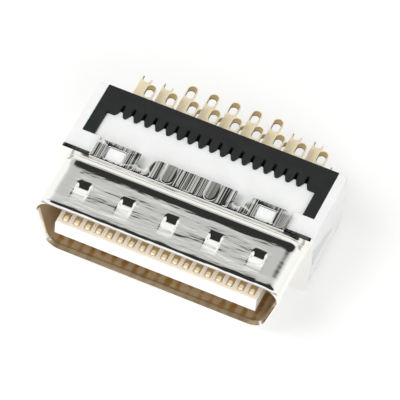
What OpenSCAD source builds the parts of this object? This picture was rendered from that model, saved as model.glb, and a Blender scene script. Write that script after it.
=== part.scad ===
// Half-pitch ribbon plug for a cable, with solder tails, shown without its hood.
// X runs along the contact rows, -Y is the mating side and the tails point to +Y.
// The origin is the middle of the flange's front face.

/* [Contacts] */
// Contacts along each side of the tongue
positions = 18; // [16:1:26]
// Spacing of neighbouring contacts
pitch = 1.27; // [1.05:0.01:1.6]
// Thickness of the contact strip
strip_t = 0.25; // [0.2:0.01:0.3]
// Width of a contact on the tongue
blade_w = 0.7; // [0.5:0.02:0.84]
// How far a contact stands proud of the tongue
blade_proud = 0.06; // [0.02:0.01:0.12]
// Distance of a contact's nose behind the tongue's front edge
nose_setback = 0.6; // [0.4:0.05:1]

/* [Solder tails] */
// Width of a solder tail
tail_w = 1.18; // [0.95:0.01:1.4]
// Radius of the eyelet in a solder tail
eyelet_r = 0.42; // [0.3:0.01:0.45]
// Length of an eyelet between the middles of its round ends
eyelet_l = 0.4; // [0.1:0.01:0.5]
// Height of the upper row of tails above the middle
upper_row_z = 2.73; // [2.2:0.01:3]
// Height of the lower row of tails above the middle
lower_row_z = 1.65; // [1.1:0.01:1.9]
// Distance of the upper row's eyelets behind the block
upper_reach = 1.5; // [1.3:0.01:2.4]
// Distance of the lower row's eyelets behind the block
lower_reach = 4.28; // [3.4:0.01:5.4]
// Distance from an eyelet's front end to the middle of the tail's round end
eyelet_to_end = 0.82; // [0.7:0.01:1.1]
// Depth of the solder dish round an eyelet
dish_d = 0.14; // [0.05:0.01:0.17]

/* [Tongue] */
// Height of the tongue
tongue_h = 1.86; // [1.5:0.01:2.3]
// Length of tongue past the outermost contacts
tongue_end = 0.865; // [0.6:0.005:1.2]
// Radius along the tongue's front edges
tongue_edge_r = 0.2; // [0.1:0.01:0.4]

/* [Shell] */
// Thickness of the sheet metal
sheet = 0.5; // [0.4:0.01:0.6]
// Depth of the shell in front of the flange
shell_depth = 7.27; // [6:0.01:9]
// Gap between the tongue and the shell above and below
gap_z = 2.22; // [1.85:0.01:2.7]
// Gap between the tongue's end and the shell at mid height
gap_x = 1.56; // [1.25:0.01:2]
// Slant of the shell's ends
slant = 15.6; // [10:0.1:18]
// Outer radius of the two upper corners
top_corner_r = 1.83; // [1.5:0.01:2.2]
// Outer radius of the two lower corners
bottom_corner_r = 2.25; // [1.5:0.01:2.6]
// Outer radius of the rolled lip
lip_r = 0.8; // [0.7:0.01:1]
// Angle through which the lip is rolled inwards
lip_angle = 62; // [40:1:75]
// Radius at the root of the shell
root_r = 0.3; // [0.15:0.01:0.5]

/* [Flange] */
// Width of flange beyond the shell at mid height
flange_side = 0.93; // [0.8:0.01:1.5]
// Height of flange beyond the shell
flange_margin = 0.77; // [0.75:0.01:1.2]
// Radius of the flange's corners
flange_corner_r = 0.5; // [0.2:0.01:0.8]

/* [Straps] */
// Depth of the straps behind the flange's face
strap_depth = 2.65; // [2.5:0.01:3.2]
// Outer radius of the bend between flange and strap
bend_r = 0.4; // [0.2:0.01:0.45]
// Width of the relief slot in the flange at each end of a strap's bend
relief_w = 0.15; // [0.1:0.01:0.3]
// Width of a latch window
window_w = 2.15; // [1.7:0.01:2.4]
// Length of a latch window
window_l = 1.7; // [1.4:0.01:2]
// Metal between a window's centre and the strap's end
window_edge = 2.49; // [2:0.01:3]
// Radius at the bottom of a notch
notch_r = 0.6; // [0.4:0.01:0.7]
// Angle by which the upper strap springs away from the body
strap_tilt = 4; // [0:0.5:6]
// Angle by which the lower strap, which the plug rests on, springs away from the body
lower_strap_tilt = 0; // [0:0.5:6]
// Distance of a pressed pad from the middle
pad_x = 2.5; // [2:0.01:3]
// Width of a pressed pad at its foot
pad_w = 1.55; // [1.2:0.01:1.7]
// Height of a pressed pad
pad_h = 0.12; // [0.05:0.01:0.2]

/* [Dents] */
// Dents along the top and along the bottom of the shell
dents = 5; // [3:1:6]
// Contacts between neighbouring dents
dent_step = 4; // [3:1:4]
// Depth of a dent
dent_d = 0.33; // [0.2:0.01:0.4]
// Width of a dent
dent_w = 1.6; // [1.2:0.01:2]
// Length of a dent's long front slope
dent_front = 1.8; // [1.4:0.01:2.2]
// Length of a dent's short rear slope
dent_rear = 1; // [0.8:0.01:1.2]
// Distance of a dent's crease in front of the flange
dent_y = 3.75; // [3.2:0.01:4.2]

/* [Body] */
// Depth of the body behind the flange's face
body_depth = 10.39; // [9:0.01:12.5]
// Width of body beyond the outermost contacts
body_side = 3.785; // [3.4:0.005:4.6]
// Thickness of the body's side walls
wall_t = 1.07; // [0.9:0.01:1.2]
// Drop of the printed panel below the body's top
panel_drop = 0.27; // [0.15:0.01:0.4]
// Depth of the end blocks behind the flange's face
block_depth = 3.35; // [3.2:0.01:4]
// Depth of the hood's pocket in each side
pocket_d = 0.95; // [0.5:0.01:1]
// Height of the hood's pocket in each side
pocket_h = 3; // [2:0.1:4]

/* [Comb] */
// Width of the comb's side arms
arm_w = 1.31; // [1:0.01:1.6]
// Distance of the tooth tips in front of the comb's rear face
comb_depth = 3.5; // [2.8:0.01:4.2]
// Height of the comb's teeth
tooth_l = 0.67; // [0.5:0.01:0.9]
// Width of a tooth's tip
tip_w = 0.3; // [0.15:0.01:0.4]
// Width of the slots between the teeth
slot_w = 0.36; // [0.2:0.01:0.5]
// Length of the slots behind the teeth
slot_l = 0.9; // [0.5:0.01:1.2]

/* [Hidden] */
$fn = 48;
// Clearance between pieces that fit together
fit = 0.02;
// Overshoot of cuts past the faces they cut
past = 1;
// The drawn shell's parts run this far into each other, and each is a hair thicker than the last
lap = 0.02;
hair = 0.002;

// Contacts and tongue
span = (positions - 1) * pitch;
tongue_hx = span / 2 + tongue_end;
tongue_hz = tongue_h / 2;
tongue_front = -shell_depth;
blade_z = tongue_hz + blade_proud - strip_t;
nose_y = tongue_front + nose_setback;
rise_start = 2;
rise_end = 5;

// Shell: half sizes of its outer surface and the centres of its corner arcs
shell_hz = tongue_hz + gap_z + sheet;
shell_hx = tongue_hx + gap_x + sheet;
function side_x(z) = shell_hx + z * tan(slant);
top_c = [side_x(shell_hz - top_corner_r) - top_corner_r / cos(slant), shell_hz - top_corner_r];
bottom_c = [side_x(bottom_corner_r - shell_hz) - bottom_corner_r / cos(slant), bottom_corner_r - shell_hz];
lip_rise = lip_r * sin(lip_angle);

// Flange and straps
flange_hx = shell_hx + flange_side;
flange_hz = shell_hz + flange_margin;
strap_hx = span / 2 + 0.42;
window_x = strap_hx - window_edge;
window_y = bend_r;
notch_x = (window_x + pad_x) / 2;
notch_y = 0.83;
pad_slope = 0.2;
pad_front = 0.15;

// Body and comb
body_hx = span / 2 + body_side;
body_hz = flange_hz - sheet - fit;
panel_hz = body_hz - panel_drop;
arm_out = body_hx - wall_t;
arm_in = arm_out - arm_w;
arm_front = block_depth + fit;
tooth_y = body_depth - comb_depth;
apex_y = tooth_y + tooth_l;
flank_angle = atan((pitch - slot_w - tip_w) / 2 / tooth_l);
tip_r = tip_w / 2 * cos(flank_angle) / (1 - sin(flank_angle));
notch_end_r = slot_w / 2 / cos(flank_angle);
body_front = sheet + fit;
boss_depth = 1;
pocket_front = 1.3;
pocket_rear = 7.7;

function two_digits(i) = str(i < 10 ? "0" : "", i);
function contact_name(row, i) = str("contact_", row, "_", two_digits(i));
function contact_x(i) = (i - (positions + 1) / 2) * pitch;
// Every second contact rises to the upper row of tails
function in_upper_row(i) = i % 2 == 0;
function tail_z(i) = (in_upper_row(i) ? upper_row_z : lower_row_z) - strip_t / 2;
function eyelet_y(i) = body_depth + (in_upper_row(i) ? upper_reach : lower_reach);
// The long tails nearest each end stop half way across their eyelets, as forks
function is_fork(i) = !in_upper_row(i) && (i <= 3 || i >= positions - 3);

// Draws its children in the XZ plane, growing towards the mating side
module seen_from_front() {
    rotate([90, 0, 0]) children();
}

// Turns a YZ profile into a bar along X, centred on the middle
module bar(half_length) {
    rotate([90, 0, 90]) translate([0, 0, -half_length]) linear_extrude(2 * half_length) children();
}

// Draws its children above the middle and mirrored below it
module both_sides() {
    children();
    mirror([0, 0, 1]) children();
}

// Draws its children above the middle and turned half round below it, as the contacts lie
module both_rows() {
    children();
    rotate([0, 180, 0]) children();
}

module rounded_rectangle(hx, hy, r) {
    square([2 * (hx - r), 2 * hy], center = true);
    square([2 * hx, 2 * (hy - r)], center = true);
    for (sx = [-1, 1], sy = [-1, 1]) {
        translate([sx * (hx - r), sy * (hy - r)]) circle(r);
    }
}

// The shell's outline: a trapezium, wide side up, with arcs at its corners
module d_outline(grow) {
    top_r = top_corner_r + grow;
    bottom_r = bottom_corner_r + grow;
    side_dir = [cos(slant), -sin(slant)];
    right = [
        top_c + [0, top_r],
        top_c + top_r * side_dir,
        bottom_c + bottom_r * side_dir,
        bottom_c - [0, bottom_r]
    ];
    polygon(concat(right, [for (i = [3 : -1 : 0]) [-right[i].x, right[i].y]]));
    for (sx = [-1, 1]) {
        translate([sx * top_c.x, top_c.y]) circle(top_r);
        translate([sx * bottom_c.x, bottom_c.y]) circle(bottom_r);
    }
}

module ring(inner, outer) {
    difference() {
        circle(outer);
        circle(inner);
    }
}

// Section of the drawn wall: x is 0 on its outer surface and y is 0 on the flange's face.
// Its bends are a hair thicker than its straight part, which ends inside them.
module wall_section(extra) {
    bend = extra + hair;
    translate([root_r, root_r]) intersection() {
        ring(root_r - bend, root_r + sheet + bend);
        translate([-past, -past]) square(past);
    }
    translate([-sheet - extra, root_r - lap])
        square([sheet + 2 * extra, shell_depth - lip_rise - root_r + 2 * lap]);
    translate([-lip_r, shell_depth - lip_rise]) intersection() {
        ring(lip_r - sheet - bend, lip_r + bend);
        polygon([[0, 0], [3 * lip_r, 0], 3 * lip_r * [cos(lip_angle), sin(lip_angle)]]);
    }
}

module straight_wall(start, normal_angle, length) {
    translate(start) rotate([0, 0, normal_angle]) rotate([90, 0, 0])
        translate([0, 0, -lap]) linear_extrude(length + 2 * lap) wall_section(0);
}

// A corner runs a degree past both of its tangents, and the straight walls end inside it
module corner_wall(centre, r, start_angle, turn) {
    overrun = 1;
    translate(centre) rotate([0, 0, start_angle - overrun])
        rotate_extrude(angle = turn + 2 * overrun) translate([r, 0]) wall_section(2 * hair);
}

// The wall's section carried once round the outline
module drawn_wall() {
    side_dir = [cos(slant), -sin(slant)];
    side_top = top_c + top_corner_r * side_dir;
    side_bottom = bottom_c + bottom_corner_r * side_dir;
    side_length = norm(side_top - side_bottom);
    straight_wall([-top_c.x, shell_hz], 90, 2 * top_c.x);
    straight_wall(side_top, -slant, side_length);
    straight_wall([bottom_c.x, -shell_hz], -90, 2 * bottom_c.x);
    straight_wall([-side_bottom.x, side_bottom.y], 180 + slant, side_length);
    corner_wall(top_c, top_corner_r, -slant, 90 + slant);
    corner_wall([-top_c.x, top_c.y], top_corner_r, 90, 90 + slant);
    corner_wall(bottom_c, bottom_corner_r, -90, 90 - slant);
    corner_wall([-bottom_c.x, bottom_c.y], bottom_corner_r, 180 + slant, 90 - slant);
}

module flange_plate() {
    translate([0, 0, -sheet]) linear_extrude(sheet) difference() {
        rounded_rectangle(flange_hx, flange_hz, flange_corner_r);
        d_outline(root_r - lap);
        for (sy = [-1, 1]) {
            translate([0, sy * (flange_hz - bend_r / 2)])
                square([2 * (strap_hx + relief_w), bend_r + hair], center = true);
        }
    }
}

// The bend's section: a quarter disc and the foot below it, as thick as the sheet
module bend_section() {
    translate([bend_r, flange_hz - bend_r]) intersection() {
        circle(bend_r);
        translate([-bend_r, 0]) square(bend_r);
    }
    translate([0, flange_hz - sheet - bend_r]) square([sheet, sheet]);
}

// Turns a level strap up about the middle of its bend
module sprung(tilt) {
    translate([0, bend_r, flange_hz - bend_r]) rotate([tilt, 0, 0])
        translate([0, -bend_r, bend_r - flange_hz]) children();
}

// A pressed pad: a rib with slanting sides and a round front end
module pad() {
    half = pad_w / 2;
    foot_z = flange_hz - 0.05;
    height = pad_h + 0.05;
    translate([0, pad_front + half, foot_z]) {
        cylinder(h = height, r1 = half, r2 = half - pad_slope);
        rotate([90, 0, 180]) linear_extrude(strap_depth - pad_front - half)
            polygon([[-half, 0], [half, 0], [half - pad_slope, height], [pad_slope - half, height]]);
    }
}

module pads() {
    for (sx = [-1, 1]) {
        translate([sx * pad_x, 0, 0]) pad();
    }
}

module notch() {
    flare = 0.35;
    translate([0, notch_y + notch_r]) circle(notch_r);
    polygon([
        [-notch_r, notch_y + notch_r],
        [notch_r, notch_y + notch_r],
        [notch_r + flare, strap_depth + past],
        [-notch_r, strap_depth + past]
    ]);
}

// Everything that is cut from a strap, seen from above
module strap_cuts() {
    corner = 0.7;
    for (sx = [-1, 1]) {
        translate([sx * window_x - window_w / 2, window_y]) square([window_w, window_l]);
        translate([sx * strap_hx, strap_depth]) rotate(45) square(corner, center = true);
        translate([sx * notch_x, 0]) notch();
    }
}

module strap(tilt) {
    bend_top = flange_hz - sheet - hair;
    difference() {
        union() {
            bar(strap_hx) bend_section();
            sprung(tilt) bar(strap_hx) translate([bend_r, flange_hz - sheet]) square([strap_depth - bend_r, sheet]);
            sprung(tilt) pads();
        }
        sprung(tilt) translate([0, 0, bend_top]) linear_extrude(sheet + pad_h + past) strap_cuts();
        sprung(tilt) translate([0, 0, -sheet]) pads();
    }
}

// A dent is as wide as its crease is deep: two slopes between two slanting flanks
module dent() {
    above = 0.3;
    flank = 0.3;
    front = -dent_y - dent_front;
    rear = -dent_y + dent_rear;
    half = dent_w / 2;
    intersection() {
        bar(dent_w) polygon([
            [front, shell_hz],
            [-dent_y, shell_hz - dent_d],
            [rear, shell_hz],
            [rear, shell_hz + above],
            [front, shell_hz + above]
        ]);
        seen_from_front() translate([0, 0, -rear]) linear_extrude(rear - front) polygon([
            [-half - flank, shell_hz + above],
            [-half, shell_hz],
            [flank - half, shell_hz - dent_d],
            [half - flank, shell_hz - dent_d],
            [half, shell_hz],
            [half + flank, shell_hz + above]
        ]);
    }
}

module dent_row() {
    for (i = [0 : dents - 1]) {
        translate([(i - (dents - 1) / 2) * dent_step * pitch, 0, 0]) dent();
    }
}

module front_shell() {
    color("silver") difference() {
        union() {
            seen_from_front() drawn_wall();
            seen_from_front() flange_plate();
            strap(strap_tilt);
            mirror([0, 0, 1]) strap(lower_strap_tilt);
            both_sides() translate([0, 0, -sheet]) dent_row();
        }
        both_sides() dent_row();
    }
}

// Side view of a contact, or of its passage when it is given a clearance
module strip_side(i, rear, clear) {
    z = tail_z(i);
    lean = strip_t * tan(atan((z - blade_z) / (rise_end - rise_start)) / 2);
    front = nose_y - clear;
    polygon([
        [front, blade_z - clear],
        [rise_start, blade_z - clear],
        [rise_end, z - clear],
        [rear, z - clear],
        [rear, z + strip_t + clear],
        [rise_end - lean, z + strip_t + clear],
        [rise_start - lean, blade_z + strip_t + clear],
        [front, blade_z + strip_t + clear]
    ]);
}

module passages() {
    for (i = [1 : positions]) {
        translate([contact_x(i), 0, 0]) bar(blade_w / 2 + fit) strip_side(i, body_depth + past, fit);
    }
}

// Plan of a contact: a narrow blade, then a wide tail behind the block
module strip_plan(i) {
    end_y = eyelet_y(i) + eyelet_to_end;
    translate([-blade_w / 2, nose_y]) square([blade_w, body_depth - nose_y]);
    if (is_fork(i)) {
        long_prong = eyelet_y(i) + 0.35;
        short_prong = eyelet_y(i) + 0.1;
        polygon([
            [-tail_w / 2, body_depth],
            [tail_w / 2, body_depth],
            [tail_w / 2, short_prong],
            [-tail_w / 2, long_prong]
        ]);
    } else {
        translate([-tail_w / 2, body_depth]) square([tail_w, end_y - body_depth]);
        translate([0, end_y]) circle(tail_w / 2);
    }
}

// A slot with round ends, along Y from the origin
module slot_plan(r, length) {
    circle(r);
    translate([0, length]) circle(r);
    translate([-r, 0]) square([2 * r, length]);
}

// The dish leaves a rim round the tail's end, and its floor rises behind the eyelet
module dish() {
    rim = 0.1;
    dish_r = tail_w / 2 - rim;
    dish_end = eyelet_to_end + dish_r;
    intersection() {
        translate([0, 0, -dish_d]) linear_extrude(dish_d + past) slot_plan(dish_r, eyelet_to_end);
        bar(tail_w) polygon([
            [-dish_r, -dish_d],
            [eyelet_l + eyelet_r, -dish_d],
            [dish_end, 0],
            [dish_end, past],
            [-dish_r, past]
        ]);
    }
}

module contact(i) {
    top = tail_z(i) + strip_t;
    color("gold") translate([contact_x(i), 0, 0]) difference() {
        intersection() {
            bar(tail_w) strip_side(i, body_depth + lower_reach + past + past, 0);
            linear_extrude(body_hz) strip_plan(i);
        }
        translate([0, eyelet_y(i), 0]) linear_extrude(body_hz) slot_plan(eyelet_r, eyelet_l);
        translate([0, eyelet_y(i), top]) dish();
        // The nose is rounded down into its groove
        translate([0, nose_y, blade_z]) nose_cut();
    }
}

module nose_cut() {
    bar(blade_w) difference() {
        translate([-past, 0]) square([past + strip_t, strip_t + past]);
        translate([strip_t, 0]) circle(strip_t);
    }
}

// The comb, or the room it needs when it is grown: a block with an arm at each side and round
// teeth along its front, where each flank is a tangent of a tooth's tip and of a notch's end
module comb_block(grow, half_height) {
    height = 2 * half_height;
    out = arm_out + grow;
    in = arm_in - grow;
    front = arm_front - grow;
    tip = tip_r + grow;
    end = notch_end_r - grow;
    end_y = apex_y - slot_w / 2 * tan(flank_angle);
    // The flanks start and stop a hair inside the round ends
    tip_side = (tip - hair) * [cos(flank_angle), sin(flank_angle)];
    end_side = (end - hair) * [cos(flank_angle), sin(flank_angle)];
    notches = [for (i = [positions : -1 : 1]) each [
        [contact_x(i) + pitch / 2 - tip_side.x, tooth_y + tip_r - tip_side.y],
        [contact_x(i) + end_side.x, end_y + end_side.y],
        [contact_x(i) - end_side.x, end_y + end_side.y],
        [contact_x(i) - pitch / 2 + tip_side.x, tooth_y + tip_r - tip_side.y]
    ]];
    last_tooth = span / 2 + pitch / 2;
    difference() {
        union() {
            translate([0, 0, -half_height]) linear_extrude(height) polygon(concat(
                [[-last_tooth, tooth_y - grow], [-in, tooth_y - grow], [-in, front], [-out, front]],
                [[-out, body_depth], [out, body_depth]],
                [[out, front], [in, front], [in, tooth_y - grow], [last_tooth, tooth_y - grow]],
                notches
            ));
            for (i = [0 : positions]) {
                translate([contact_x(i) + pitch / 2, tooth_y + tip_r, 0])
                    cylinder(h = height, r = tip, center = true);
            }
        }
        for (i = [1 : positions]) {
            translate([contact_x(i), end_y, 0]) cylinder(h = height + past, r = end, center = true);
        }
    }
}

module comb_slots() {
    floor_z = upper_row_z + strip_t;
    for (i = [1 : positions]) {
        translate([contact_x(i) - slot_w / 2, apex_y - past / 4, floor_z])
            cube([slot_w, slot_l + past / 4, body_hz]);
    }
}

module tail_comb() {
    color("dimgray") difference() {
        comb_block(0, body_hz);
        both_sides() comb_slots();
        both_rows() passages();
    }
}

// The body's middle, lower than its ends, with ridges between the comb's teeth
module core() {
    difference() {
        translate([-arm_in + fit, body_front, -panel_hz])
            cube([2 * (arm_in - fit), apex_y + notch_end_r - body_front, 2 * panel_hz]);
        comb_block(fit, panel_hz + past);
    }
}

module end_block() {
    inner = strap_hx + 0.1;
    translate([inner, body_front, -body_hz])
        cube([body_hx - inner, block_depth - body_front, 2 * body_hz]);
    translate([arm_out + fit, body_front, -body_hz])
        cube([wall_t - fit, body_depth - body_front, 2 * body_hz]);
}

module hood_pocket() {
    translate([0, 0, -pocket_h / 2]) linear_extrude(pocket_h) polygon([
        [body_hx + past, pocket_front],
        [body_hx - pocket_d, pocket_front],
        [body_hx, pocket_rear],
        [body_hx + past, pocket_rear]
    ]);
}

// A latch that rises through the strap's window, highest at its rear
module latch() {
    front = window_y + 0.12;
    rear = window_y + window_l - 0.05;
    translate([window_x, 0, 0]) bar(window_w / 2 - 0.08) polygon([
        [front, panel_hz - 0.5],
        [rear, panel_hz - 0.5],
        [rear, flange_hz - 0.05],
        [front, flange_hz - 0.3]
    ]);
}

module tongue() {
    bar(tongue_hx) {
        translate([tongue_front + tongue_edge_r, -tongue_hz]) square([body_front - tongue_front, tongue_h]);
        translate([tongue_front, tongue_edge_r - tongue_hz])
            square([tongue_edge_r, tongue_h - 2 * tongue_edge_r]);
        for (sz = [-1, 1]) {
            translate([tongue_front + tongue_edge_r, sz * (tongue_hz - tongue_edge_r)]) circle(tongue_edge_r);
        }
    }
}

// The boss that fills the root of the shell
module boss() {
    translate([0, body_front, 0]) seen_from_front()
        linear_extrude(body_front + boss_depth) d_outline(-sheet - fit);
}

module insulator() {
    color("white") difference() {
        union() {
            core();
            tongue();
            boss();
            for (m = [0, 1]) {
                mirror([m, 0, 0]) end_block();
                mirror([m, 0, 0]) both_sides() latch();
            }
        }
        for (m = [0, 1]) {
            mirror([m, 0, 0]) hood_pocket();
        }
        both_rows() passages();
    }
}

front_shell();
insulator();
tail_comb();
for (i = [1 : positions]) {
    contact(i);
    rotate([0, 180, 0]) contact(positions + 1 - i);
}
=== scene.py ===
"""Builds the looks of a half-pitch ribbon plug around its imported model.

X runs along the contact rows, -Y is the mating side and +Z is the shell's wide side.
Shapes are worked out in millimetres and scaled to metres as they become objects.
"""

import math
from collections import namedtuple

import bmesh
import bpy
from bpy.props import FloatProperty, FloatVectorProperty, IntProperty, PointerProperty
from mathutils import Matrix, Vector


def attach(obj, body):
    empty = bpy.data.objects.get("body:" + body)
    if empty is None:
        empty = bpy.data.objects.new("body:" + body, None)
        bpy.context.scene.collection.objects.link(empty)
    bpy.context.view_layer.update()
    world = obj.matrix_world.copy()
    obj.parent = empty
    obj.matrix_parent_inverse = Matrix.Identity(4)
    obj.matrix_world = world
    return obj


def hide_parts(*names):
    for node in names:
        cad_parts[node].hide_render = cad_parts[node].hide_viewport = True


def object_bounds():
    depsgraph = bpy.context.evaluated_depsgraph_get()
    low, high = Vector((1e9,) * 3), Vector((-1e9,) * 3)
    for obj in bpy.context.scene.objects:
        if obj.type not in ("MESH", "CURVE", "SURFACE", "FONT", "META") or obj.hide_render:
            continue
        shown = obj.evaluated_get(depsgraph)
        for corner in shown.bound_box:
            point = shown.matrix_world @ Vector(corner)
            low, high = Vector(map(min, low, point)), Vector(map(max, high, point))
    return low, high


bl_info = {
    "name": "Ribbon plug looks",
    "version": (1, 0, 0),
    "blender": (4, 5, 0),
    "location": "View3D > Sidebar > Ribbon plug",
    "description": "Shell, contacts, mouldings and studio of a half-pitch ribbon plug",
    "category": "Object",
}

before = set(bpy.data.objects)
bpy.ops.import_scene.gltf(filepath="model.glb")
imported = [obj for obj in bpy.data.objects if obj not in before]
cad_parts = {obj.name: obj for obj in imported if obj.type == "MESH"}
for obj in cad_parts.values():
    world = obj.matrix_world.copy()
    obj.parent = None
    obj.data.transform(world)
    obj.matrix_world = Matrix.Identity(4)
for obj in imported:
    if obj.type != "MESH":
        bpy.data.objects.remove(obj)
CAD_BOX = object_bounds()

MM = 0.001
TINY = 0.0005  # places in millimetres that are closer than this are one
QUARTER_TURN = math.radians(90)
ALONG_X, ALONG_Y, ALONG_Z = Vector((1, 0, 0)), Vector((0, 1, 0)), Vector((0, 0, 1))

# Sizes in millimetres that several pieces or finishes share
PITCH = 1.27               # from one contact to the next
WINDOW_X = 8.725           # from the middle to the middle of a latch window
PAD_X = 2.5                # from the middle to the middle of a pressed pad
MOULDED_EDGE_ROUND = 0.05  # radius of the edges of the insulator and the comb


class ShellSizes(bpy.types.PropertyGroup):
    """Sizes of the drawn front shell"""

    sheet: FloatProperty(
        name="Sheet", description="Thickness of the sheet metal", default=0.5 * MM, unit="LENGTH")
    half_width: FloatProperty(
        name="Half width", description="Half width of the shell at mid height",
        default=13.72 * MM, unit="LENGTH")
    half_height: FloatProperty(
        name="Half height", description="Half height of the shell",
        default=3.65 * MM, unit="LENGTH")
    depth: FloatProperty(
        name="Depth", description="Depth of the shell in front of the flange",
        default=7.27 * MM, unit="LENGTH")
    slant: FloatProperty(
        name="Slant", description="Slant of the shell's ends",
        default=math.radians(15.6), subtype="ANGLE")
    top_corner: FloatProperty(
        name="Upper corners", description="Outer radius of the two upper corners",
        default=1.83 * MM, unit="LENGTH")
    bottom_corner: FloatProperty(
        name="Lower corners", description="Outer radius of the two lower corners",
        default=2.25 * MM, unit="LENGTH")
    lip: FloatProperty(
        name="Lip", description="Outer radius of the rolled lip", default=0.6 * MM, unit="LENGTH")
    lip_angle: FloatProperty(
        name="Lip angle", description="Angle through which the lip is rolled inwards",
        default=math.radians(60), subtype="ANGLE")
    root: FloatProperty(
        name="Root", description="Radius at the root of the shell",
        default=0.06 * MM, unit="LENGTH")
    flare: FloatProperty(
        name="Flare", description="How far the shell widens before its root",
        default=0.128 * MM, unit="LENGTH")
    flange_half_width: FloatProperty(
        name="Flange half width", description="Half width of the flange",
        default=14.65 * MM, unit="LENGTH")
    flange_half_height: FloatProperty(
        name="Flange half height", description="Half height of the flange",
        default=4.42 * MM, unit="LENGTH")
    strap_depth: FloatProperty(
        name="Strap depth", description="Depth of the straps behind the flange's face",
        default=2.65 * MM, unit="LENGTH")
    strap_tilt: FloatProperty(
        name="Upper strap tilt", description="Angle by which the upper strap springs away",
        default=math.radians(4), subtype="ANGLE")
    lower_strap_tilt: FloatProperty(
        name="Lower strap tilt", description="Angle by which the lower strap springs away",
        default=0, subtype="ANGLE")
    dents: IntProperty(
        name="Dents", description="Dents along the top and along the bottom of the shell",
        default=5, min=1)
    dent_contacts: IntProperty(
        name="Contacts per dent", description="Contacts between neighbouring dents",
        default=4, min=1)
    dent_depth: FloatProperty(
        name="Dent depth", description="Depth of a dent in the shell",
        default=0.33 * MM, unit="LENGTH")


class Finishes(bpy.types.PropertyGroup):
    """Colours of the finishes, and of the painted reflections, highlight, shade and glow"""

    nickel: FloatVectorProperty(
        name="Plating", description="Colour of the plated steel",
        subtype="COLOR", default=(0.95, 0.945, 0.91), min=0, max=1)
    # Painted reflection: a brown tint on the shell's inner face that stands in for the gold
    # contacts and the shade mirrored there
    inside_reflection: FloatVectorProperty(
        name="Tarnish", description="Colour of the dull plating inside the shell",
        subtype="COLOR", default=(0.66, 0.50, 0.31), min=0, max=1)
    # Painted reflection of the lower contacts on the shell's floor
    floor_contact_reflection: FloatVectorProperty(
        name="Amber", description="Colour that the lower contacts lend to the shell's floor",
        subtype="COLOR", default=(0.46, 0.26, 0.08), min=0, max=1)
    # Painted shade in the slots at the flange's cut ends beside the straps, in a darker and a
    # lighter tone
    cut_shade_dark: FloatVectorProperty(
        name="Cut, dark", description="Darker colour of the flange's cut ends by the straps",
        subtype="COLOR", default=(0.04, 0.04, 0.038), min=0, max=1)
    cut_shade_light: FloatVectorProperty(
        name="Cut, light", description="Lighter colour of the flange's cut ends by the straps",
        subtype="COLOR", default=(0.13, 0.13, 0.12), min=0, max=1)
    gold: FloatVectorProperty(
        name="Gold", description="Colour of the contacts on the tongue",
        subtype="COLOR", default=(0.74, 0.55, 0.27), min=0, max=1)
    # Painted highlight on the middle of each contact's nose
    bead_highlight: FloatVectorProperty(
        name="Bead", description="Colour of the polished middle of a contact's nose",
        subtype="COLOR", default=(1.0, 0.94, 0.72), min=0, max=1)
    gold_flash: FloatVectorProperty(
        name="Gold flash", description="Colour of the solder tails",
        subtype="COLOR", default=(1.0, 0.88, 0.62), min=0, max=1)
    # Painted shade in the dishes round the eyelets
    dish_shade: FloatVectorProperty(
        name="Olive", description="Colour of the dishes round the eyelets",
        subtype="COLOR", default=(0.44, 0.33, 0.16), min=0, max=1)
    # Painted shade on the upright walls of the eyelets
    eyelet_wall_shade: FloatVectorProperty(
        name="Eyelet wall", description="Colour of the upright walls of the eyelets",
        subtype="COLOR", default=(0.12, 0.09, 0.04), min=0, max=1)
    worn_gold: FloatVectorProperty(
        name="Worn gold", description="Tint of the darker grain on all the gold",
        subtype="COLOR", default=(0.95, 0.94, 0.92), min=0, max=1)
    white: FloatVectorProperty(
        name="White moulding", description="Colour of the insulator",
        subtype="COLOR", default=(0.90, 0.905, 0.895), min=0, max=1)
    # Painted light: a warm glow from the gold contacts on the tongue's upper face
    tongue: FloatVectorProperty(
        name="Tongue", description="Colour of the tongue's upper face between the contacts",
        subtype="COLOR", default=(0.97, 0.88, 0.78), min=0, max=1)
    black: FloatVectorProperty(
        name="Black moulding", description="Colour of the comb",
        subtype="COLOR", default=(0.012, 0.013, 0.0125), min=0, max=1)


class PlugSettings(bpy.types.PropertyGroup):
    """Everything that the plug's operators read"""

    shell: PointerProperty(type=ShellSizes)
    finishes: PointerProperty(type=Finishes)


def new_material(name):
    """A node material, its tree and its Principled shader"""
    material = bpy.data.materials.new(name)
    material.use_nodes = True
    tree = material.node_tree
    return material, tree, tree.nodes["Principled BSDF"]


def put(tree, value, socket):
    """Gives an input a plain value, or links it to an output"""
    if isinstance(value, bpy.types.NodeSocket):
        tree.links.new(value, socket)
    elif socket.type == "RGBA" and len(value) == 3:
        socket.default_value = (*value, 1)
    else:
        socket.default_value = value


def add(tree, kind, inputs=None, **settings):
    """Adds a node, sets its properties and fills its inputs"""
    made = tree.nodes.new(kind)
    for key, value in settings.items():
        setattr(made, key, value)
    for key, value in (inputs or {}).items():
        put(tree, value, made.inputs[key])
    return made


def maths(tree, operation, a, b=0.0):
    """The result of a calculation; one with a single value ignores b"""
    return add(tree, "ShaderNodeMath", {0: a, 1: b}, operation=operation).outputs[0]


def product(tree, *values):
    """Multiplies sockets and numbers"""
    whole = values[0]
    for value in values[1:]:
        whole = maths(tree, "MULTIPLY", whole, value)
    return whole


def away_from(tree, value, centre):
    """How far a value is from a centre"""
    return maths(tree, "ABSOLUTE", maths(tree, "SUBTRACT", value, centre))


def vector_maths(tree, operation, a, b):
    """The outputs of a calculation on vectors: Vector, or Value for a dot product"""
    return add(tree, "ShaderNodeVectorMath", {0: a, 1: b}, operation=operation).outputs


def axes(tree, vector):
    """The X, Y and Z of a vector"""
    made = add(tree, "ShaderNodeSeparateXYZ", {"Vector": vector})
    return [made.outputs[axis] for axis in "XYZ"]


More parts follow.
